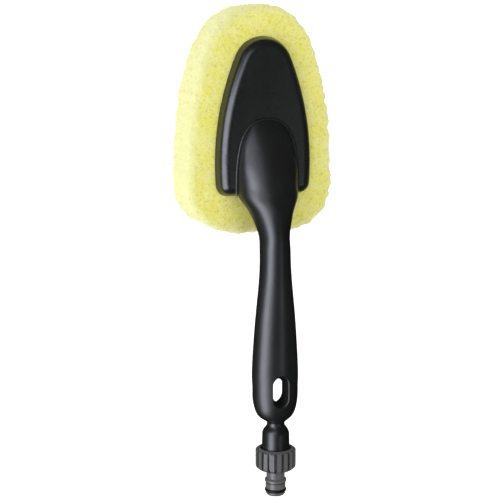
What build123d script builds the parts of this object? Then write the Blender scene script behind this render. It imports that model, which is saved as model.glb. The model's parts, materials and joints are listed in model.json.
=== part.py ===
"""Water-fed sponge brush for washing cars and windows.

The brush lies on the working face of its sponge, at Z = 0. Y runs along the handle towards the
head, X is across it, and the model is symmetric about X = 0. Distances named from_tip are
measured along Y from the free end of the hose nipple. All sizes are in millimetres.
"""
from build123d import *
import math
import os

# ------------------------------------------------------------------ driving dimensions
LENGTH = 396.0                 # nipple tip to far end of sponge
AXIS_HEIGHT = 83.0             # hose axis above the sponge's working face

SPONGE_THICKNESS = 50.0
SPONGE_HALF_WIDTH = 60.4
SPONGE_NEAR = 213.5            # from_tip, end of the sponge below the handle
SPONGE_WIDEST = 262.0          # from_tip
SPONGE_EDGE_RADIUS = 5.5
SOFT_GAP = 0.3                 # foam stands this far off the hard parts
OVERLAP = 0.5                  # joined solids run into each other by this
OVERSHOOT = 1.0                # cutters run past the faces that they cut by this

COVER_HEEL = 244.0             # from_tip, straight edge of the cover below the handle
COVER_WIDEST = 270.0           # from_tip
COVER_HALF_WIDTH = 40.6
COVER_SIDE_RADIUS = 221.0
COVER_TIP_RADIUS = 25.0
COVER_CORNER_RADIUS = 10.0
COVER_WALL_HEIGHT = 8.0
COVER_SHOULDER_HEIGHT = 4.0
COVER_WALL_DRAFT = 16.0        # degrees
COVER_SHOULDER_DRAFT = 48.0    # degrees
COVER_EDGE_RADIUS = 6.0
COVER_SKIN = 3.0
COVER_BASE = SPONGE_THICKNESS
COVER_TOP = COVER_BASE + COVER_WALL_HEIGHT + COVER_SHOULDER_HEIGHT

PLATE_THICKNESS = 2.5
PLATE_RIM = 2.4                # cover wall outside the spray plate
PLATE_CLEARANCE = 0.25
GASKET_THICKNESS = 1.0
GASKET_WIDTH = 2.6
SPRAY_HOLE_RADIUS = 1.5
SPRAY_ROWS = 8
SPRAY_WIDE_ROWS = 4            # the rows near the heel hold five holes, the others three
SPRAY_START = 12.0             # heel to the first row
SPRAY_ROW_PITCH = 14.0
SPRAY_COLUMN_PITCH = 10.5
SPRAY_SCREW_GAP = 6.1          # least distance of a hole from a screw

FOOT_HALF_WIDTH = 25.3         # dome of the handle's foot where it crosses the cover's heel
FOOT_LENGTH = 60.8             # heel to the tip of the dome
FOOT_START = 246.0             # from_tip
FOOT_FULLNESS = 2.6            # exponent of the foot's outline, 2 would be an ellipse
FLANGE_MARGIN = 1.9            # thin flange beside the dome
FLANGE_TIP_MARGIN = 0.5        # the flange dies out towards the tip of the dome
FLANGE_THICKNESS = 1.2
FLANGE_EDGE_RADIUS = 0.9
FLANGE_CORNER_RADIUS = 3.0
PORT_FROM_TIP = 262.0
PORT_RADIUS = 5.0
PORT_SEAL_RADIUS = 7.2
PORT_SEAL_WIRE = 1.0
PORT_SEAL_GAP = 0.1
DUCT_RISE = 6.5                # height of the duct's axis over the cover

HANDLE_SKIN = 3.0
SLOT_FROM_TIP = 89.3
SLOT_WAIST_HEIGHT = 87.0       # the slot is narrowest here and flares towards both faces
SLOT_HALF_WIDTH = 3.85         # at its waist
SLOT_LENGTH = 19.0             # at its waist
SLOT_WALL = 4.0                # solid plastic round the slot, between it and the waterway
TOP_FLARE = 3.5                # the slot is wider by this on each side at the grip's upper face
BOTTOM_FLARE = 5.7
LIP_FLARE = 2.0                # soft lip round the upper mouth
LIP_DEPTH = 1.4
LIP_SHARE = 0.8                # share of the upper flare at which the lip starts
MOUTH_OVERSHOOT = 0.6          # the flares start this far outside the grip

COLLAR_RADIUS = 11.1
COLLAR_FLARE = 0.25            # the collar is wider by this at the nut
COLLAR_SHOULDER = 52.6         # from_tip
COLLAR_INSET = 0.4             # the collar's face sits inside the nut's open end
WAIST_RADIUS = 7.2
WAIST_END = 61.7               # from_tip, where the waist runs into the grip
WAIST_CURVE = [(56.0, 9.6), (58.4, 7.7)]  # from_tip and radius between the shoulder and the waist
WAIST_LEAN = -0.35             # inward slope at the shoulder
SPIGOT_CHAMFER = 0.8
TAIL_BORE_RADIUS = 4.25

TAIL_THREAD_RADIUS = 10.478    # G1/2 major radius
NUT_THREAD_RADIUS = 12.64      # G3/4 pitch radius
THREAD_CLEARANCE = 0.10

NUT_RADIUS = 16.5
NUT_START = 19.4               # from_tip
NUT_RIB_TOP = 38.9             # from_tip
NUT_END = 39.9                 # from_tip
NUT_RIBS = 18
NUT_RIB_WIDTH = 3.5
NUT_RIB_HEIGHT = 2.2
NUT_RIB_ROOT = 13.3            # the ribs start at this radius, inside the nut's wall
NUT_RIM = 1.2                  # the nut's open end is narrower by this
RIB_CHAMFER = 0.7
RIB_CONE = [(1.4, 10.0), (2.9, 13.9), (4.9, 16.3), (6.9, NUT_RADIUS)]  # from NUT_START, radius
RIB_FOOT = [(5.9, NUT_RIB_ROOT), (3.2, 10.0)]
GROOVE_CONE = [(0.0, 7.5), (1.6, 9.4), (3.4, 12.6), (5.7, NUT_RADIUS - NUT_RIB_HEIGHT)]
NUT_FLOOR = 6.6
WASHER_THICKNESS = 1.8
WASHER_MARGIN = 1.0            # a washer's hole is wider than the bore by this
CONNECTOR_WASHER_GAP = 0.3
TAIL_WASHER_GAP = 0.5
REDUCER_LIP = 1.5
REDUCER_LIP_MARGIN = 1.5
REDUCER_GAP = 0.1              # between the reducer and the collar

NIPPLE_NECK_RADIUS = 7.5
NIPPLE_BODY_RADIUS = 8.2
NIPPLE_RIDGE_RADIUS = 8.85
NIPPLE_TIP_RADIUS = 7.95
NIPPLE_BORE_RADIUS = 4.5
TIP_CHAMFER = (1.2, 0.9)       # along the axis and across it
RIDGE_FROM_TIP = 12.2
RIDGE_HALF_WIDTH = 0.9
RIDGE_FALL = 1.1               # slope behind the ridge
LATCH_GROOVE = 1.3             # groove before the ridge
LATCH_SLOPE = 0.3
RING_FROM_TIP = 4.1
RING_SEAT_HALF_WIDTH = 1.45
RING_WIRE_RADIUS = 1.3
RING_OUTER_RADIUS = 8.95

# positions that follow from the driving dimensions
FLOOR_FROM_TIP = NUT_START + NUT_FLOOR
REDUCER_START = FLOOR_FROM_TIP + WASHER_THICKNESS
TAIL_WASHER_START = REDUCER_START + REDUCER_LIP
TAIL_END = TAIL_WASHER_START + WASHER_THICKNESS
COLLAR_FACE = NUT_END - COLLAR_INSET

# handle sections: from_tip, half width, height of widest line, rise above it, drop below it
GRIP_SECTIONS = [
    (61.4, 7.3, 83.0, 7.3, 7.3),
    (63.2, 8.9, 82.8, 8.6, 7.3),
    (65.6, 12.7, 82.2, 10.9, 7.7),
    (69.6, 16.0, 81.6, 13.0, 7.9),
    (76.0, 18.1, 80.9, 14.9, 8.0),
    (88.0, 19.2, 80.4, 15.9, 8.0),
    (102.0, 19.5, 80.0, 16.3, 8.0),
    (120.0, 18.7, 79.9, 16.1, 8.0),
    (146.0, 16.8, 80.2, 15.1, 8.0),
    (172.0, 14.2, 80.3, 14.2, 8.0),
    (194.0, 12.7, 79.8, 14.0, 8.2),
    (208.0, 12.4, 78.5, 14.8, 8.3),
]
SOLID_SECTIONS = 4             # the waterway starts at the fifth section
SLOT_SECTIONS = GRIP_SECTIONS[4:8]
ROOT_SECTIONS = [
    (217.0, 12.9, 76.2, 16.5, 8.6),
    (224.0, 14.8, 73.4, 18.5, 9.2),
    (231.0, 17.2, 70.4, 20.6, 10.4),
    (238.0, 20.8, 66.8, 22.4, 12.0),
    (244.0, 24.3, 63.0, 23.6, 13.0),
]
FOOT_CROWN = 21.4              # straight part of the foot's height over the cover at its start
FOOT_ROUND = 3.2               # rounded part of that height, which makes the tip blunt
FOOT_SLOPE = 0.9               # exponent of the straight part, 1 would be a straight line
FOOT_DEPTH = 12.0              # the sections reach this far into the cover before trimming
FOOT_DEPTH_LOSS = 0.7          # share of that depth lost towards the tip
FOOT_STEPS = 6
FLANGE_STEPS = 12
FOOT_END_FRACTION = 0.992

FOOT_SCREW_SPOTS = [(-13.0, 275.0), (13.0, 275.0), (-16.0, 256.5), (16.0, 256.5)]
PLATE_SCREW_SPOTS = [
    (-26.0, 256.0),
    (26.0, 256.0),
    (-24.0, 300.0),
    (24.0, 300.0),
    (-13.0, 343.0),
    (13.0, 343.0),
]
SCREW_RADIUS = 1.5
SCREW_HEAD_RADIUS = 2.9
SCREW_HEAD_HEIGHT = 1.7
PAN_HEAD_HEIGHT = 1.8
SCREW_FIT = 0.1
CROSS_RECESS = (2.6, 0.8, 1.6) # length and width of each slot, and both depths together
BOSS_RADIUS = 3.6
PLATE_SCREW_LENGTH = 7.8
FOOT_SCREW_LENGTH = 9.0
FOOT_HOLE_DEPTH = 7.0


def along(from_tip):
    """Y coordinate of a place given by its distance from the nipple tip."""
    return from_tip - LENGTH / 2


def ring(outer, inner, start, end):
    """Tube about the hose axis between two distances from the tip."""
    tube = Cylinder(outer, end - start) - Cylinder(inner, end - start + 2)
    return Pos(0, along((start + end) / 2), AXIS_HEIGHT) * Rot(X=90) * tube


def rod(radius, start, end, height=AXIS_HEIGHT):
    """Solid cylinder along Y between two distances from the tip."""
    return Pos(0, along((start + end) / 2), height) * Rot(X=90) * Cylinder(radius, end - start)


def turned(profile):
    """Solid of revolution about the hose axis from (from_tip, radius) corners."""
    corners = [(radius, along(from_tip)) for from_tip, radius in profile]
    section = make_face(Polyline(*corners, close=True))
    return Pos(0, 0, AXIS_HEIGHT) * revolve(section, Axis.Y)


# ------------------------------------------------------------------ head
def sponge_outline():
    """Egg-shaped outline of the foam, narrow at the far end."""
    right = [
        (33.3, 380.8),
        (45.6, 358.0),
        (56.3, 316.0),
        (SPONGE_HALF_WIDTH, SPONGE_WIDEST),
        (56.6, 234.0),
        (41.0, 219.0),
    ]
    left = [(-x, from_tip) for x, from_tip in reversed(right)]
    loop = [(0, LENGTH)] + right + [(0, SPONGE_NEAR)] + left
    return make_face(Spline(*[(x, along(from_tip)) for x, from_tip in loop], periodic=True))


def make_sponge():
    block = extrude(sponge_outline(), SPONGE_THICKNESS - SOFT_GAP)
    rims = block.edges().group_by(Axis.Z)
    return fillet(rims[0] + rims[-1], SPONGE_EDGE_RADIUS)


def cover_outline():
    """Arch-shaped outline of the cover: a round tip, long side arcs and a straight heel."""
    side_centre = COVER_HALF_WIDTH - COVER_SIDE_RADIUS
    gap = COVER_SIDE_RADIUS - COVER_TIP_RADIUS
    lean = math.degrees(math.acos(-side_centre / gap))
    tip_centre = COVER_WIDEST + gap * math.sin(math.radians(lean))
    low = math.degrees(math.asin((COVER_HEEL - COVER_WIDEST) / COVER_SIDE_RADIUS))
    tip = CenterArc((0, along(tip_centre)), COVER_TIP_RADIUS, lean, 180 - 2 * lean)
    side = CenterArc((side_centre, along(COVER_WIDEST)), COVER_SIDE_RADIUS, low, lean - low)
    other = mirror(side, Plane.YZ)
    heel = Line(side @ 0, other @ 0)
    face = make_face(Curve() + [tip, side, other, heel])
    corners = face.vertices().group_by(Axis.Y)[0]
    return fillet(corners, COVER_CORNER_RADIUS)


def cover_block():
    """Outer form of the cover: a drafted wall and a sloping shoulder, both with soft edges."""
    wall = extrude(Pos(0, 0, COVER_BASE) * cover_outline(), COVER_WALL_HEIGHT, taper=COVER_WALL_DRAFT)
    ledge = wall.faces().sort_by(Axis.Z)[-1]
    shoulder = extrude(ledge, COVER_SHOULDER_HEIGHT, taper=COVER_SHOULDER_DRAFT)
    block = wall + shoulder
    levels = (COVER_BASE + COVER_WALL_HEIGHT, COVER_TOP)
    soft = [e for e in block.edges() if any(is_level(e, level) for level in levels)]
    return fillet(soft, COVER_EDGE_RADIUS)


def is_level(edge, height):
    box = edge.bounding_box()
    return abs(box.min.Z - height) < 0.01 and abs(box.max.Z - height) < 0.01


def screw_hole(spot, radius, low, high):
    x, from_tip = spot
    return Pos(x, along(from_tip), (low + high) / 2) * Cylinder(radius, high - low)


def make_cover():
    outline = cover_outline()
    seat_height = PLATE_THICKNESS + GASKET_THICKNESS
    seat = extrude(Pos(0, 0, COVER_BASE) * offset(outline, -PLATE_RIM), seat_height)
    chamber_floor = COVER_BASE + seat_height
    chamber_height = COVER_TOP - COVER_SKIN - chamber_floor
    inner = offset(outline, -(PLATE_RIM + GASKET_WIDTH))
    chamber = extrude(Pos(0, 0, chamber_floor) * inner, chamber_height, taper=COVER_WALL_DRAFT)
    cover = cover_block() - seat - chamber
    top_inside = COVER_TOP - COVER_SKIN
    for spot in PLATE_SCREW_SPOTS:
        cover += screw_hole(spot, BOSS_RADIUS, COVER_BASE + PLATE_THICKNESS, top_inside + OVERLAP)
        cover -= screw_hole(spot, SCREW_RADIUS, COVER_BASE, top_inside - OVERLAP)
    for spot in FOOT_SCREW_SPOTS:
        cover -= screw_hole(spot, SCREW_RADIUS, chamber_floor, COVER_TOP + OVERSHOOT)
    return cover - screw_hole((0, PORT_FROM_TIP), PORT_RADIUS, chamber_floor, COVER_TOP + OVERSHOOT)


def spray_spots():
    """Staggered grid of water outlets inside the plate, clear of the screws."""
    for row in range(SPRAY_ROWS):
        from_tip = COVER_HEEL + SPRAY_START + row * SPRAY_ROW_PITCH
        reach = 2 if row < SPRAY_WIDE_ROWS else 1
        shift = 0.5 if row % 2 else 0.0
        for column in range(-reach, reach + 1):
            spot = ((column + shift) * SPRAY_COLUMN_PITCH, from_tip)
            if all(math.dist(spot, screw) > SPRAY_SCREW_GAP for screw in PLATE_SCREW_SPOTS):
                yield spot


def make_spray_plate():
    outline = offset(cover_outline(), -(PLATE_RIM + PLATE_CLEARANCE))
    plate = extrude(Pos(0, 0, COVER_BASE) * outline, PLATE_THICKNESS)
    top = COVER_BASE + PLATE_THICKNESS
    for spot in spray_spots():
        plate -= screw_hole(spot, SPRAY_HOLE_RADIUS, COVER_BASE - OVERSHOOT, top + OVERSHOOT)
    for x, from_tip in PLATE_SCREW_SPOTS:
        plate -= Pos(x, along(from_tip), COVER_BASE) * screw(PLATE_THICKNESS + OVERSHOOT, SCREW_FIT)
    return plate


def make_plate_gasket():
    outline = cover_outline()
    low = COVER_BASE + PLATE_THICKNESS
    outer = offset(outline, -(PLATE_RIM + PLATE_CLEARANCE))
    inner = offset(outline, -(PLATE_RIM + GASKET_WIDTH))
    return extrude(Pos(0, 0, low) * (outer - inner), GASKET_THICKNESS)


def screw(length, growth=0.0):
    """Countersunk screw standing on its head at the origin, shank upwards."""
    head = Cone(SCREW_HEAD_RADIUS + growth, SCREW_RADIUS + growth, SCREW_HEAD_HEIGHT)
    shank = Cylinder(SCREW_RADIUS - SCREW_FIT + growth, length)
    return Pos(0, 0, SCREW_HEAD_HEIGHT / 2) * head + Pos(0, 0, length / 2) * shank


def cross_recess():
    bar = Box(*CROSS_RECESS)
    return bar + Rot(Z=90) * bar


def make_plate_screws():
    fastener = screw(PLATE_SCREW_LENGTH) - cross_recess()
    return Compound([Pos(x, along(from_tip), COVER_BASE) * fastener for x, from_tip in PLATE_SCREW_SPOTS])


def pan_screw(length):
    """Pan-head screw with the underside of its head at the origin, shank upwards."""
    head = Pos(0, 0, -PAN_HEAD_HEIGHT / 2) * Cylinder(SCREW_HEAD_RADIUS, PAN_HEAD_HEIGHT)
    shank = Pos(0, 0, length / 2) * Cylinder(SCREW_RADIUS - SCREW_FIT, length)
    return head + shank - Pos(0, 0, -PAN_HEAD_HEIGHT) * cross_recess()


def make_foot_screws():
    fastener = Pos(0, 0, COVER_TOP - COVER_SKIN) * pan_screw(FOOT_SCREW_LENGTH)
    return Compound([Pos(x, along(from_tip), 0) * fastener for x, from_tip in FOOT_SCREW_SPOTS])


def make_foot_seal():
    """O-ring round the water port, between the handle's foot and the cover."""
    seat = Pos(0, along(PORT_FROM_TIP), COVER_TOP + PORT_SEAL_WIRE)
    return seat * Torus(PORT_SEAL_RADIUS, PORT_SEAL_WIRE)


# ------------------------------------------------------------------ handle
def handle_section(from_tip, half_width, height, rise, drop, skin=0.0):
    """Closed section across the handle: a tall half ellipse over a shallow one."""
    plane = Plane(origin=(0, along(from_tip), height), x_dir=(1, 0, 0), z_dir=(0, -1, 0))
    upper = EllipticalCenterArc((0, 0), half_width - skin, rise - skin, start_angle=0, arc_size=180)
    lower = EllipticalCenterArc((0, 0), half_width - skin, drop - skin, start_angle=180, arc_size=180)
    return plane * make_face(Curve() + [upper, lower])


def foot_section(fraction):
    """Section of the foot, whose plan is a full arch that dies out on the cover."""
    half_width = FOOT_HALF_WIDTH * (1 - fraction**FOOT_FULLNESS) ** (1 / FOOT_FULLNESS)
    crown = FOOT_CROWN * (1 - fraction) ** FOOT_SLOPE + FOOT_ROUND * math.sqrt(1 - fraction**2)
    from_tip = FOOT_START + FOOT_LENGTH * fraction
    depth = FOOT_DEPTH * (1 - FOOT_DEPTH_LOSS * fraction)
    return handle_section(from_tip, half_width, COVER_TOP, crown, depth)


def foot_flange():
    """Thin flange round the dome of the foot, lying on the cover and over its heel."""
    half_width = FOOT_HALF_WIDTH + FLANGE_MARGIN
    heel = COVER_HEEL + FLANGE_MARGIN
    start = heel + 1.5 * FLANGE_CORNER_RADIUS
    length = FOOT_START + FOOT_LENGTH + FLANGE_TIP_MARGIN - start
    power = 2 / FOOT_FULLNESS
    arch = []
    for step in range(FLANGE_STEPS + 1):
        angle = math.pi * step / FLANGE_STEPS
        across = math.copysign(abs(math.cos(angle)) ** power, math.cos(angle))
        arch.append((half_width * across, along(start + length * abs(math.sin(angle)) ** power)))
    tip = Spline(*arch, tangents=((0, 1), (0, -1)))
    left = Line(tip @ 1, (-half_width, along(heel)))
    right = Line((half_width, along(heel)), tip @ 0)
    plan = make_face(Curve() + [tip, left, Line(left @ 1, right @ 0), right])
    plan = fillet(plan.vertices().group_by(Axis.Y)[0], FLANGE_CORNER_RADIUS)
    plate = extrude(Pos(0, 0, COVER_BASE) * plan, COVER_TOP - COVER_BASE + FLANGE_THICKNESS)
    return fillet(plate.edges().group_by(Axis.Z)[-1], FLANGE_EDGE_RADIUS)


def handle_outside():
    sections = [handle_section(*values) for values in GRIP_SECTIONS + ROOT_SECTIONS]
    for step in range(1, FOOT_STEPS + 1):
        sections.append(foot_section(FOOT_END_FRACTION * math.sin(math.radians(90 * step / FOOT_STEPS))))
    return loft(sections)


def handle_inside():
    """Waterway inside the grip, with a duct through the foot that turns down into the port."""
    hollow = GRIP_SECTIONS[SOLID_SECTIONS:] + ROOT_SECTIONS[:-1]
    sections = [handle_section(*values, skin=HANDLE_SKIN) for values in hollow]
    duct_height = COVER_TOP + DUCT_RISE
    duct = rod(PORT_RADIUS, hollow[-1][0] - OVERSHOOT, PORT_FROM_TIP, duct_height)
    port = screw_hole((0, PORT_FROM_TIP), PORT_RADIUS, COVER_TOP - OVERSHOOT, duct_height)
    elbow = Pos(0, along(PORT_FROM_TIP), duct_height) * Sphere(PORT_RADIUS)
    return loft(sections) + duct + port + elbow


def make_tail():
    """Waist, collar and threaded spigot, turned about the hose axis."""
    thread_core = TAIL_THREAD_RADIUS - THREAD_CLEARANCE
    corners = [
        (WAIST_END, WAIST_RADIUS),
        (WAIST_END, TAIL_BORE_RADIUS),
        (TAIL_END, TAIL_BORE_RADIUS),
        (TAIL_END, thread_core - SPIGOT_CHAMFER),
        (TAIL_END + SPIGOT_CHAMFER, thread_core),
        (COLLAR_FACE, thread_core),
        (COLLAR_FACE, COLLAR_RADIUS + COLLAR_FLARE),
        (COLLAR_SHOULDER, COLLAR_RADIUS),
    ]
    outline = Polyline(*[(radius, along(from_tip)) for from_tip, radius in corners])
    curve = [corners[-1]] + WAIST_CURVE + [corners[0]]
    slopes = ((WAIST_LEAN, 1), (0, 1))
    waist = Spline(*[(radius, along(from_tip)) for from_tip, radius in curve], tangents=slopes)
    return Pos(0, 0, AXIS_HEIGHT) * revolve(make_face(Curve() + [outline, waist]), Axis.Y)


def slot_outline(margin, height):
    """Long round outline of the hang slot, wider than its waist by a margin, at one height."""
    outline = Rot(Z=90) * SlotOverall(SLOT_LENGTH + 2 * margin, 2 * (SLOT_HALF_WIDTH + margin))
    return Pos(0, along(SLOT_FROM_TIP), height) * outline


def hang_slot(bottom, top):
    """Hang slot between the faces of the grip: two flares that meet at the waist, and a soft lip."""
    waist = slot_outline(0, SLOT_WAIST_HEIGHT)
    upper = loft([waist, slot_outline(TOP_FLARE, top + MOUTH_OVERSHOOT)])
    lower = loft([slot_outline(BOTTOM_FLARE, bottom - MOUTH_OVERSHOOT), waist])
    lip_bottom = slot_outline(LIP_SHARE * TOP_FLARE, top - LIP_DEPTH)
    lip = loft([lip_bottom, slot_outline(TOP_FLARE + LIP_FLARE, top + MOUTH_OVERSHOOT)])
    return upper + lower + lip


def make_handle():
    top = max(height + rise for _, _, height, rise, _ in SLOT_SECTIONS)
    bottom = min(height - drop for _, _, height, _, drop in SLOT_SECTIONS)
    column = extrude(slot_outline(TOP_FLARE + SLOT_WALL, bottom), top - bottom)
    handle = handle_outside() + foot_flange() - (handle_inside() - column)
    handle -= cover_block()
    below_cover = Box(LENGTH, LENGTH, COVER_BASE)
    handle -= Pos(0, along(COVER_HEEL) + LENGTH / 2, COVER_BASE / 2) * below_cover
    handle += make_tail()
    waterway_start = SLOT_SECTIONS[0][0]
    handle -= rod(TAIL_BORE_RADIUS, TAIL_END, waterway_start + TAIL_BORE_RADIUS)
    handle -= hang_slot(bottom, top)
    for spot in FOOT_SCREW_SPOTS:
        handle -= screw_hole(spot, SCREW_RADIUS, COVER_TOP - OVERSHOOT, COVER_TOP + FOOT_HOLE_DEPTH)
    groove_radius = PORT_SEAL_RADIUS + PORT_SEAL_WIRE + PORT_SEAL_GAP
    groove_top = COVER_TOP + 2 * PORT_SEAL_WIRE
    return handle - screw_hole((0, PORT_FROM_TIP), groove_radius, COVER_TOP - OVERSHOOT, groove_top)


# ------------------------------------------------------------------ hose connection
def nut_rib():
    """One grip rib of the union nut, standing on +X and following the cone at its lower end."""
    cone = [(NUT_START + rise, radius) for rise, radius in RIB_CONE]
    top = [
        (NUT_RIB_TOP - RIB_CHAMFER, NUT_RADIUS),
        (NUT_RIB_TOP, NUT_RADIUS - RIB_CHAMFER),
        (NUT_RIB_TOP, NUT_RIB_ROOT),
    ]
    foot = [(NUT_START + rise, radius) for rise, radius in RIB_FOOT]
    corners = [(radius, along(from_tip)) for from_tip, radius in cone + top + foot]
    return extrude(make_face(Polyline(*corners, close=True)), NUT_RIB_WIDTH / 2, both=True)


def nipple_outline():
    """Outer corners of the nipple from its tip: O-ring seat, latch groove and ridge."""
    seat_floor = RING_OUTER_RADIUS - 2 * RING_WIRE_RADIUS
    seat_low = RING_FROM_TIP - RING_SEAT_HALF_WIDTH
    seat_high = RING_FROM_TIP + RING_SEAT_HALF_WIDTH
    ridge_low = RIDGE_FROM_TIP - RIDGE_HALF_WIDTH
    ridge_high = RIDGE_FROM_TIP + RIDGE_HALF_WIDTH
    chamfer_length, chamfer_depth = TIP_CHAMFER
    return [
        (0.0, NIPPLE_TIP_RADIUS - chamfer_depth),
        (chamfer_length, NIPPLE_TIP_RADIUS),
        (seat_low, NIPPLE_TIP_RADIUS),
        (seat_low, seat_floor),
        (seat_high, seat_floor),
        (seat_high, NIPPLE_BODY_RADIUS),
        (ridge_low - LATCH_GROOVE, NIPPLE_BODY_RADIUS),
        (ridge_low - LATCH_GROOVE + LATCH_SLOPE, NIPPLE_NECK_RADIUS),
        (ridge_low - LATCH_SLOPE, NIPPLE_NECK_RADIUS),
        (ridge_low, NIPPLE_RIDGE_RADIUS),
        (ridge_high, NIPPLE_RIDGE_RADIUS),
        (ridge_high + RIDGE_FALL, NIPPLE_NECK_RADIUS),
    ]


def make_connector():
    """Grey ribbed union nut and the nipple that a hose coupler snaps onto, one moulding."""
    groove = NUT_RADIUS - NUT_RIB_HEIGHT
    cone = [(NUT_START + rise, radius) for rise, radius in GROOVE_CONE]
    rim = [(NUT_RIB_TOP, groove), (NUT_END, groove - NUT_RIM)]
    inside = [
        (NUT_END, NUT_THREAD_RADIUS),
        (FLOOR_FROM_TIP, NUT_THREAD_RADIUS),
        (FLOOR_FROM_TIP, NIPPLE_BORE_RADIUS),
        (0.0, NIPPLE_BORE_RADIUS),
    ]
    body = turned(nipple_outline() + cone + rim + inside)
    for index in range(NUT_RIBS):
        body += Pos(0, 0, AXIS_HEIGHT) * Rot(Y=360 * index / NUT_RIBS) * nut_rib()
    return body


def make_connector_washer():
    outer = NUT_THREAD_RADIUS - CONNECTOR_WASHER_GAP
    return ring(outer, NIPPLE_BORE_RADIUS + WASHER_MARGIN, FLOOR_FROM_TIP, REDUCER_START)


def make_tail_washer():
    outer = TAIL_THREAD_RADIUS - TAIL_WASHER_GAP
    return ring(outer, TAIL_BORE_RADIUS + WASHER_MARGIN, TAIL_WASHER_START, TAIL_END)


def make_reducer():
    """Threaded insert that takes the nut down to the size of the handle's spigot."""
    sleeve = ring(NUT_THREAD_RADIUS, TAIL_THREAD_RADIUS, REDUCER_START, COLLAR_FACE - REDUCER_GAP)
    lip_bore = NIPPLE_BORE_RADIUS + REDUCER_LIP_MARGIN
    lip = ring(TAIL_THREAD_RADIUS + OVERLAP, lip_bore, REDUCER_START, TAIL_WASHER_START)
    return sleeve + lip


def make_nipple_ring():
    centre = RING_OUTER_RADIUS - RING_WIRE_RADIUS
    return Pos(0, along(RING_FROM_TIP), AXIS_HEIGHT) * Rot(X=90) * Torus(centre, RING_WIRE_RADIUS)


PARTS = {
    "sponge_block": make_sponge,
    "head_cover": make_cover,
    "spray_plate": make_spray_plate,
    "spray_plate_gasket": make_plate_gasket,
    "spray_plate_screws": make_plate_screws,
    "handle": make_handle,
    "foot_screws": make_foot_screws,
    "foot_port_seal": make_foot_seal,
    "tap_connector": make_connector,
    "thread_reducer": make_reducer,
    "connector_washer": make_connector_washer,
    "tail_washer": make_tail_washer,
    "nipple_o_ring": make_nipple_ring,
}

os.makedirs("parts", exist_ok=True)
for name, build in PARTS.items():
    export_step(build(), os.path.join("parts", name + ".step"))
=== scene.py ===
"""Looks of a water-fed sponge brush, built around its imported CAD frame. Lengths are in metres.

The plastic, rubber and steel pieces keep their CAD meshes and get materials. The foam block is
rebuilt as a finer mesh with cutter marks and open cells. Y runs along the handle to the head.
"""
import json
import math

import bpy
import numpy as np
from mathutils import Matrix, Vector, noise


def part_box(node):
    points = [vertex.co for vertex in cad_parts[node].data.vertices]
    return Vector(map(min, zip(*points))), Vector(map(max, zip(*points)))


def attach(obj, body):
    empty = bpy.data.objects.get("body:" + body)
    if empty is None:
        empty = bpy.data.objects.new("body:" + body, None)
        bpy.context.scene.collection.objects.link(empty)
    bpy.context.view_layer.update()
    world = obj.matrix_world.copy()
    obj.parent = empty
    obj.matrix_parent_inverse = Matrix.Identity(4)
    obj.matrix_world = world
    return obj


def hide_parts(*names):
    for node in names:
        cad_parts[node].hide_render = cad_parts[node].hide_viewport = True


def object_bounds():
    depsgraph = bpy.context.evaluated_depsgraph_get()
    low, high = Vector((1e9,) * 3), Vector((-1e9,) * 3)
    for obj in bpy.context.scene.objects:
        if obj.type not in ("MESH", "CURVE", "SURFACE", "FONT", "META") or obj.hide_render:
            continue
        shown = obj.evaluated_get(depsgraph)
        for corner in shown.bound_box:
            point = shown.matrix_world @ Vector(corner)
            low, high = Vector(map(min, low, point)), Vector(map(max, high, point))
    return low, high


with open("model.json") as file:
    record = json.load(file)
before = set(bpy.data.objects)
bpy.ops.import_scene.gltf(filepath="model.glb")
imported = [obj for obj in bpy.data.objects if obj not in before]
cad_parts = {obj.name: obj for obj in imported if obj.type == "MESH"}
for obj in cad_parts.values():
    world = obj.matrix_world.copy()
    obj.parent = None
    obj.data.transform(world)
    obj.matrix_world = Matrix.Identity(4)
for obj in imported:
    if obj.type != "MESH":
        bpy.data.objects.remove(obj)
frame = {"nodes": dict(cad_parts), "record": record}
cad_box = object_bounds()
MM = 0.001
WHITE = (1.0, 1.0, 1.0)

# ------------------------------------------------------------------ node helpers
AO_SAMPLES = 8
OPEN_FROM, OPEN_FULL = 0.4, 0.9  # open sky over a point: painted shade is darkest below the first, none above the second
MIX_FACTOR, MIX_FIRST, MIX_SECOND = 0, 6, 7  # inputs of a Mix node that blends colours
MIX_RESULT = 2


def new_material(name):
    """Material with an empty Principled surface. Returns (material, node tree, shader)."""
    material = bpy.data.materials.new(name)
    material.use_nodes = True
    tree = material.node_tree
    tree.nodes.clear()
    shader = tree.nodes.new("ShaderNodeBsdfPrincipled")
    output = tree.nodes.new("ShaderNodeOutputMaterial")
    tree.links.new(shader.outputs["BSDF"], output.inputs["Surface"])
    return material, tree, shader


def noise_field(tree, size, detail=3.0, roughness=0.5, stretch=(1, 1, 1)):
    """Noise over object space with features of about the given size. Returns its value socket."""
    where = tree.nodes.new("ShaderNodeTexCoord")
    scale = tree.nodes.new("ShaderNodeMapping")
    scale.inputs["Scale"].default_value = [1 / (size * s) for s in stretch]
    field = tree.nodes.new("ShaderNodeTexNoise")
    field.inputs["Scale"].default_value = 1.0
    field.inputs["Detail"].default_value = detail
    field.inputs["Roughness"].default_value = roughness
    tree.links.new(where.outputs["Object"], scale.inputs["Vector"])
    tree.links.new(scale.outputs["Vector"], field.inputs["Vector"])
    return field.outputs["Fac"]


def cell_field(tree, size):
    """Distance to the nearest cell's middle over object space, with cells of about the given size."""
    where = tree.nodes.new("ShaderNodeTexCoord")
    cells = tree.nodes.new("ShaderNodeTexVoronoi")
    cells.inputs["Scale"].default_value = 1 / size
    tree.links.new(where.outputs["Object"], cells.inputs["Vector"])
    return cells.outputs["Distance"]


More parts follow.
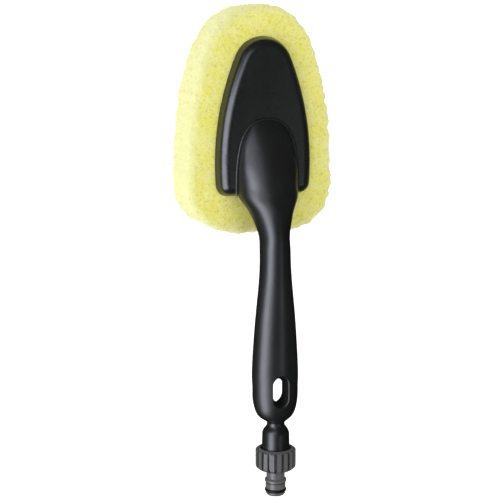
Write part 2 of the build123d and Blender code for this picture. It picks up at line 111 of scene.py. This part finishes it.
def ramp(tree, value, stops):
    """Colour ramp over a value; stops are (position, colour or grey level)."""
    node = tree.nodes.new("ShaderNodeValToRGB")
    elements = node.color_ramp.elements
    for element, (position, colour) in zip(elements, stops):
        element.position = position
        rgb = (colour,) * 3 if isinstance(colour, (int, float)) else colour
        element.color = (*rgb, 1.0)
    tree.links.new(value, node.inputs["Fac"])
    return node.outputs["Color"]


def spread(tree, value, low, high):
    """Value from 0..1 mapped to low..high."""
    node = tree.nodes.new("ShaderNodeMapRange")
    node.inputs["To Min"].default_value = low
    node.inputs["To Max"].default_value = high
    tree.links.new(value, node.inputs["Value"])
    return node.outputs["Result"]


def bump(tree, height, depth, below=None):
    """Bump of the given depth, on top of another bump if one is given."""
    node = tree.nodes.new("ShaderNodeBump")
    node.inputs["Distance"].default_value = depth
    tree.links.new(height, node.inputs["Height"])
    if below is not None:
        tree.links.new(below, node.inputs["Normal"])
    return node.outputs["Normal"]


def blend_colours(tree, factor, first, second, mode="MIX"):
    """Blend of two colours. Each input is a value or the socket of another node."""
    node = tree.nodes.new("ShaderNodeMix")
    node.data_type = "RGBA"
    node.blend_type = mode
    for place, value in ((MIX_FACTOR, factor), (MIX_FIRST, first), (MIX_SECOND, second)):
        socket = node.inputs[place]
        if isinstance(value, bpy.types.NodeSocket):
            tree.links.new(value, socket)
        elif isinstance(value, tuple):
            socket.default_value = (*value, 1.0)
        else:
            socket.default_value = value
    return node.outputs[MIX_RESULT]


def paint_recess_shade(tree, colour, reach, shade):
    """The colour with painted shade: darkened towards the given shade down in grooves narrower than
    the reach, where little light gets in.
    """
    open_sky = tree.nodes.new("ShaderNodeAmbientOcclusion")
    open_sky.samples = AO_SAMPLES
    open_sky.only_local = True
    open_sky.inputs["Distance"].default_value = reach
    painted_shade = ramp(tree, open_sky.outputs["AO"], [(OPEN_FROM, shade), (OPEN_FULL, 1.0)])
    return blend_colours(tree, 1.0, colour, painted_shade, "MULTIPLY")


# ------------------------------------------------------------------ materials
FLOW_MARKS = 18 * MM           # streaks in a plastic's colour
FLOW_STRETCH = (1, 3, 1)       # they run along the brush
GLOSS_PATCHES = 6 * MM
GLOSS_RANGE = (-0.05, 0.07)    # about the plastic's roughness
WAVES = 12 * MM                # shallow waves that a moulding has
WAVE_DEPTH = 0.08 * MM
RECESS_REACH = 3 * MM          # grooves narrower than this get painted shade

RUBBER_DUST = 4 * MM
RUBBER_GRAIN = 0.5 * MM
STEEL_GRAIN = 0.8 * MM
STEEL_STRETCH = (1, 1, 8)
FINE_GRAIN_DEPTH = 0.02 * MM   # of rubber and steel

FOAM_SKIN = (0.91, 0.88, 0.33)
# painted shade: darker, deeper yellow down in the foam's cells
FOAM_PIT_PAINTED_SHADE = (0.78, 0.74, 0.20)
FOAM_SIDE_PALE = (0.83, 0.83, 0.43)  # paler colour blended onto the sides
FOAM_PATCH = 11 * MM
FOAM_PATCH_TINT = (0.98, 0.97, 0.66)
FOAM_FINE_CELL = 1.4 * MM
# painted shade in the holes of the fine cells
FOAM_FINE_CELL_PAINTED_SHADE = (0.74, 0.72, 0.46)
FOAM_FINE_SHARE = 0.42
FOAM_PORE = 5.6 * MM
# painted shade down in the larger pores
FOAM_PORE_PAINTED_SHADE = (0.84, 0.77, 0.42)
FOAM_PORE_SHARE = 0.7
FOAM_CELL_BUMP = 0.3 * MM
FOAM_CRUMB = 0.7 * MM
FOAM_CRUMB_BUMP = 0.1 * MM
FOAM_LIGHT_REACH = 4 * MM      # how far light spreads inside the foam


def moulded_plastic(name, dark, light, roughness, grain, grain_depth, specular=0.5, painted_recess_shade=None):
    """Moulded plastic: slight flow marks in colour and gloss, a fine spark-eroded grain, and painted
    shade in its grooves if a shade for them is given.
    """
    material, tree, shader = new_material(name)
    flow = noise_field(tree, FLOW_MARKS, detail=4.0, roughness=0.55, stretch=FLOW_STRETCH)
    colour = ramp(tree, flow, [(0.3, dark), (0.7, light)])
    # painted shade: grooves are darkened as if shaded
    if painted_recess_shade is not None:
        colour = paint_recess_shade(tree, colour, RECESS_REACH, painted_recess_shade)
    tree.links.new(colour, shader.inputs["Base Color"])
    smoothest, roughest = (roughness + shift for shift in GLOSS_RANGE)
    gloss = spread(tree, noise_field(tree, GLOSS_PATCHES), smoothest, roughest)
    tree.links.new(gloss, shader.inputs["Roughness"])
    waves = bump(tree, noise_field(tree, WAVES, detail=2.0), WAVE_DEPTH)
    sparks = noise_field(tree, grain, detail=2.0, roughness=0.6)
    tree.links.new(bump(tree, sparks, grain_depth, below=waves), shader.inputs["Normal"])
    shader.inputs["Specular IOR Level"].default_value = specular
    return material


def seal_rubber(name):
    """Black rubber of the seals, a little dusty."""
    material, tree, shader = new_material(name)
    dust = noise_field(tree, RUBBER_DUST, detail=4.0)
    tree.links.new(ramp(tree, dust, [(0.35, 0.004), (0.75, 0.010)]), shader.inputs["Base Color"])
    tree.links.new(spread(tree, dust, 0.45, 0.62), shader.inputs["Roughness"])
    shader.inputs["Specular IOR Level"].default_value = 0.25
    grain = bump(tree, noise_field(tree, RUBBER_GRAIN), FINE_GRAIN_DEPTH)
    tree.links.new(grain, shader.inputs["Normal"])
    return material


def screw_steel(name):
    """Bright steel with a grain along the screw."""
    material, tree, shader = new_material(name)
    grain = noise_field(tree, STEEL_GRAIN, stretch=STEEL_STRETCH)
    tree.links.new(ramp(tree, grain, [(0.3, 0.45), (0.7, 0.62)]), shader.inputs["Base Color"])
    tree.links.new(spread(tree, grain, 0.25, 0.42), shader.inputs["Roughness"])
    tree.links.new(bump(tree, grain, FINE_GRAIN_DEPTH), shader.inputs["Normal"])
    shader.inputs["Metallic"].default_value = 1.0
    return material


def surface_value(tree, name):
    """Value that the foam's mesh holds at each of its points."""
    layer = tree.nodes.new("ShaderNodeAttribute")
    layer.attribute_name = name
    return layer.outputs["Fac"]


def open_cell_foam(name):
    """Yellow foam: pale skin and sides, fine cells and pores, with painted shade down in the cells,
    the fine cells and the pores.
    """
    material, tree, shader = new_material(name)
    # painted shade: the colour darkens and deepens down in the modelled cells
    colour = ramp(tree, surface_value(tree, "cell_depth"), [(0.05, FOAM_SKIN), (0.9, FOAM_PIT_PAINTED_SHADE)])
    patches = noise_field(tree, FOAM_PATCH, roughness=0.6)
    tint = ramp(tree, patches, [(0.38, FOAM_PATCH_TINT), (0.6, WHITE)])
    colour = blend_colours(tree, 1.0, colour, tint, "MULTIPLY")
    colour = blend_colours(tree, surface_value(tree, "cut_side"), colour, FOAM_SIDE_PALE)
    cells = cell_field(tree, FOAM_FINE_CELL)
    # painted shade: darker down in the fine cells' holes
    fine = ramp(tree, cells, [(0.12, FOAM_FINE_CELL_PAINTED_SHADE), (0.5, WHITE)])
    colour = blend_colours(tree, FOAM_FINE_SHARE, colour, fine, "MULTIPLY")
    # painted shade: dark dots where the larger pores are
    pores = ramp(tree, cell_field(tree, FOAM_PORE), [(0.06, FOAM_PORE_PAINTED_SHADE), (0.26, WHITE)])
    colour = blend_colours(tree, FOAM_PORE_SHARE, colour, pores, "MULTIPLY")
    tree.links.new(colour, shader.inputs["Base Color"])
    holes = bump(tree, cells, FOAM_CELL_BUMP)
    crumb = bump(tree, noise_field(tree, FOAM_CRUMB, roughness=0.6), FOAM_CRUMB_BUMP, below=holes)
    tree.links.new(crumb, shader.inputs["Normal"])
    shader.inputs["Roughness"].default_value = 0.95
    shader.inputs["Specular IOR Level"].default_value = 0.15
    shader.inputs["Subsurface Weight"].default_value = 0.25
    shader.inputs["Subsurface Radius"].default_value = (1.0, 0.9, 0.25)
    shader.inputs["Subsurface Scale"].default_value = FOAM_LIGHT_REACH
    return material


MATERIALS = {
    "handle_plastic": moulded_plastic(
        "handle_plastic",
        dark=0.0080,
        light=(0.0115, 0.0125, 0.0120),
        roughness=0.34,
        grain=0.5 * MM,
        grain_depth=0.020 * MM,
        specular=0.75,
    ),
    "cover_plastic": moulded_plastic(
        "cover_plastic",
        dark=(0.0085, 0.0105, 0.0092),
        light=(0.0125, 0.0150, 0.0135),
        roughness=0.28,
        grain=0.6 * MM,
        grain_depth=0.008 * MM,
        specular=0.75,
    ),
    "plate_plastic": moulded_plastic(
        "plate_plastic",
        dark=0.016,
        light=0.024,
        roughness=0.5,
        grain=0.6 * MM,
        grain_depth=0.030 * MM,
    ),
    "insert_plastic": moulded_plastic(
        "insert_plastic",
        dark=0.010,
        light=0.016,
        roughness=0.42,
        grain=0.5 * MM,
        grain_depth=0.020 * MM,
    ),
    "connector_plastic": moulded_plastic(
        "connector_plastic",
        dark=(0.092, 0.092, 0.093),
        light=(0.125, 0.125, 0.126),
        roughness=0.30,
        grain=0.5 * MM,
        grain_depth=0.020 * MM,
        # painted shade down in the connector's grooves
        painted_recess_shade=0.55,
    ),
    "seal_rubber": seal_rubber("seal_rubber"),
    "screw_steel": screw_steel("screw_steel"),
    "foam": open_cell_foam("foam"),
}


def finish_cad_nodes():
    """Gives every CAD node the material of its slot."""
    for part in frame["record"]["subparts"]:
        mesh = frame["nodes"][part["node"]].data
        mesh.materials.clear()
        mesh.materials.append(MATERIALS[part["material_slot"]])


# ------------------------------------------------------------------ foam block
GRID = 0.85 * MM               # edge length of the foam's mesh
SMOOTHING = 10                 # rounds of smoothing after the remesh
CELL = 2.4 * MM                # spacing of the modelled cells
CELL_DEPTH = 0.4 * MM
CELL_WALL = 0.55               # share of a cell's spacing over which it deepens
CELL_ROUND = 0.8               # exponent of its bowl shape
CELL_SHUFFLE = 7.3             # spreads the cells' seeds, so that their sizes vary
FLUTE = 5.0 * MM               # width of the cutter marks down the sides
FLUTE_DEPTH = 1.5 * MM
FLUTE_RUN = 0.15               # height counts this much in the marks, which draws them out downwards
NICK = 1.6 * MM                # torn cells along the sides
NICK_DEPTH = 0.5 * MM
NICK_SHIFT = Vector((1.0, 7.0, 2.0))
SIDE_SWELL = 1.1 * MM          # the cut sides stand out by this
LEAN = 1.6 * MM                # the underside sits this far to the left of the top
LUMP = 16.0 * MM               # gentle unevenness all over
LUMP_DEPTH = 0.5 * MM
LUMP_SHIFT = Vector((5.0, 3.0, 9.0))
CRUMB = 0.9 * MM               # finest roughness
CRUMB_DEPTH = 0.15 * MM


def remeshed(source, name, size):
    """Even quad mesh of a CAD node, as a new object."""
    block = bpy.data.objects.new(name, source.data.copy())
    bpy.context.scene.collection.objects.link(block)
    remesh = block.modifiers.new("even", "REMESH")
    remesh.mode = "VOXEL"
    remesh.voxel_size = size
    smooth = block.modifiers.new("smooth", "SMOOTH")
    smooth.iterations = SMOOTHING
    graph = bpy.context.evaluated_depsgraph_get()
    mesh = bpy.data.meshes.new_from_object(block.evaluated_get(graph))
    block.modifiers.clear()
    block.data = mesh
    return block


def cell_pit(point):
    """How far into a foam cell a point of the surface lies, 0 on a strut and 1 in the middle."""
    distances, seeds = noise.voronoi(point / CELL, distance_metric="DISTANCE")
    wall = distances[1] - distances[0]
    size = 0.5 + 0.5 * noise.cell(seeds[0] * CELL_SHUFFLE)
    return size * min(1.0, max(0.0, wall / CELL_WALL)) ** CELL_ROUND


def relief(point, side, pit):
    """How far the surface moves outwards at a point; side is 1 on the cut sides, 0 on the faces."""
    flute = noise.noise(Vector((point.x, point.y, point.z * FLUTE_RUN)) / FLUTE)
    nick = noise.noise(point / NICK + NICK_SHIFT)
    lump = noise.noise(point / LUMP + LUMP_SHIFT)
    crumb = noise.noise(point / CRUMB)
    cut = side * (FLUTE_DEPTH * flute + NICK_DEPTH * nick + SIDE_SWELL)
    return cut + LUMP_DEPTH * lump - CELL_DEPTH * pit + CRUMB_DEPTH * crumb


def make_foam():
    """Foam block with its cells, cutter marks and lean, in place of the plain CAD block."""
    source = frame["nodes"]["sponge_block"]
    low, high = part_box("sponge_block")
    block = remeshed(source, "foam_block", GRID)
    mesh = block.data
    count = len(mesh.vertices)
    points = np.empty(count * 3, np.float32)
    normals = np.empty(count * 3, np.float32)
    mesh.vertices.foreach_get("co", points)
    mesh.vertex_normals.foreach_get("vector", normals)
    pits = np.empty(count, np.float32)
    sides = np.empty(count, np.float32)
    moved = np.empty((count, 3), np.float32)
    for index, (place, facing) in enumerate(zip(points.reshape(-1, 3), normals.reshape(-1, 3))):
        point, normal = Vector(place), Vector(facing)
        pit = cell_pit(point)
        side = math.hypot(normal.x, normal.y)
        pits[index] = pit
        sides[index] = side
        moved[index] = point + normal * relief(point, side, pit)
        moved[index][0] -= LEAN * (high.z - point.z) / (high.z - low.z)
    moved[:, 2] = np.clip(moved[:, 2], low.z, high.z)
    mesh.vertices.foreach_set("co", moved.ravel())
    mesh.update()
    for layer_name, values in (("cell_depth", pits), ("cut_side", sides)):
        layer = mesh.attributes.new(layer_name, "FLOAT", "POINT")
        layer.data.foreach_set("value", values)
    mesh.polygons.foreach_set("use_smooth", [True] * len(mesh.polygons))
    mesh.materials.clear()
    mesh.materials.append(MATERIALS["foam"])
    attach(block, "brush")
    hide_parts("sponge_block")


# ------------------------------------------------------------------ stage
FLOOR_REACH = 6.0
FLOOR_DROP = 0.3 * MM          # keeps the floor off the foam's flat underside
FLOOR_GLOW = 0.55

WORLD_STRENGTH = 0.5
SHINE_DISTANCE = 1.3
SHINE_TINT = (0.86, 0.89, 1.0)

# lamps that give no highlights: name, azimuth, elevation, distance, size, radiance
LAMPS = [
    ("key_left", 192, 40, 1.3, (1.7, 1.1), 1.35),
    ("top_fill", 20, 72, 2.2, (1.4, 1.4), 2.5),
]
# strips that only show as highlights on the plastic: name, azimuth, elevation, size, radiance
SHINES = [
    ("shine_left", 193, 29, (1.7, 0.62), 3.0),
    ("shine_left_soft", 193, 31, (1.75, 0.95), 1.6),
    ("shine_left_wide", 193, 33, (1.8, 1.3), 1.0),
    ("shine_head", 140, 46, (0.9, 0.8), 1.5),
    ("shine_rim", -35, 63, (0.6, 0.28), 1.1),
]

CAMERA_YAW = 19.0              # degrees round to the brush's left
CAMERA_PITCH = 9.7             # degrees towards the head
CAMERA_FOCUS = Vector((-0.0222, 0.0068, 0.083))
CAMERA_DISTANCE = 0.973
CAMERA_LENS = 88.6             # focal length in millimetres
CAMERA_SENSOR = 36.0           # width in millimetres


def make_floor():
    """White floor that glows a little, so that it stays white right up to the foam."""
    mesh = bpy.data.meshes.new("floor")
    corners = [(x * FLOOR_REACH, y * FLOOR_REACH, 0) for x, y in ((-1, -1), (1, -1), (1, 1), (-1, 1))]
    mesh.from_pydata(corners, [], [(0, 1, 2, 3)])
    floor = bpy.data.objects.new("floor", mesh)
    bpy.context.scene.collection.objects.link(floor)
    floor.location.z = cad_box[0].z - FLOOR_DROP
    material, _, shader = new_material("floor_white")
    shader.inputs["Base Color"].default_value = (0.93, 0.93, 0.93, 1)
    shader.inputs["Roughness"].default_value = 0.9
    shader.inputs["Specular IOR Level"].default_value = 0.0
    shader.inputs["Emission Color"].default_value = (*WHITE, 1)
    shader.inputs["Emission Strength"].default_value = FLOOR_GLOW
    mesh.materials.append(material)
    floor.visible_glossy = False


def softbox(name, azimuth, elevation, distance, size, radiance, tint=WHITE):
    """Area light that looks at the middle of the brush. Azimuth 0 is +X, 90 is +Y."""
    light = bpy.data.lights.new(name, "AREA")
    light.shape = "RECTANGLE"
    light.size, light.size_y = size
    light.energy = radiance * math.pi * size[0] * size[1]
    light.color = tint
    lamp = bpy.data.objects.new(name, light)
    bpy.context.scene.collection.objects.link(lamp)
    a, e = math.radians(azimuth), math.radians(elevation)
    away = Vector((math.cos(a) * math.cos(e), math.sin(a) * math.cos(e), math.sin(e)))
    middle = (cad_box[0] + cad_box[1]) / 2
    lamp.location = middle + away * distance
    lamp.rotation_mode = "QUATERNION"
    lamp.rotation_quaternion = away.to_track_quat("Z", "Y")
    return lamp


def make_lights():
    """White surroundings, soft lamps, and strips that draw the highlights."""
    world = bpy.data.worlds.new("studio")
    bpy.context.scene.world = world
    world.use_nodes = True
    backdrop = world.node_tree.nodes["Background"]
    backdrop.inputs["Color"].default_value = (*WHITE, 1)
    backdrop.inputs["Strength"].default_value = WORLD_STRENGTH
    world.cycles_visibility.glossy = False
    for settings in LAMPS:
        softbox(*settings).visible_glossy = False
    for name, azimuth, elevation, size, radiance in SHINES:
        shine = softbox(name, azimuth, elevation, SHINE_DISTANCE, size, radiance, SHINE_TINT)
        shine.visible_diffuse = False


def make_camera():
    """Camera above the brush, turned a little to its left and towards its head."""
    yaw, pitch = math.radians(CAMERA_YAW), math.radians(CAMERA_PITCH)
    level = math.cos(pitch)
    toward = Vector((-math.sin(yaw) * level, math.sin(pitch), math.cos(yaw) * level))
    up = (Vector((0, 1, 0)) - toward * toward.y).normalized()
    right = up.cross(toward)
    data = bpy.data.cameras.new("camera")
    data.sensor_width = CAMERA_SENSOR
    data.lens = CAMERA_LENS
    camera = bpy.data.objects.new("camera", data)
    bpy.context.scene.collection.objects.link(camera)
    turn = Matrix((right, up, toward)).transposed().to_4x4()
    camera.matrix_world = Matrix.Translation(CAMERA_FOCUS + toward * CAMERA_DISTANCE) @ turn
    bpy.context.scene.camera = camera


bpy.context.scene.view_settings.view_transform = "Standard"
finish_cad_nodes()
make_foam()
make_floor()
make_lights()
make_camera()
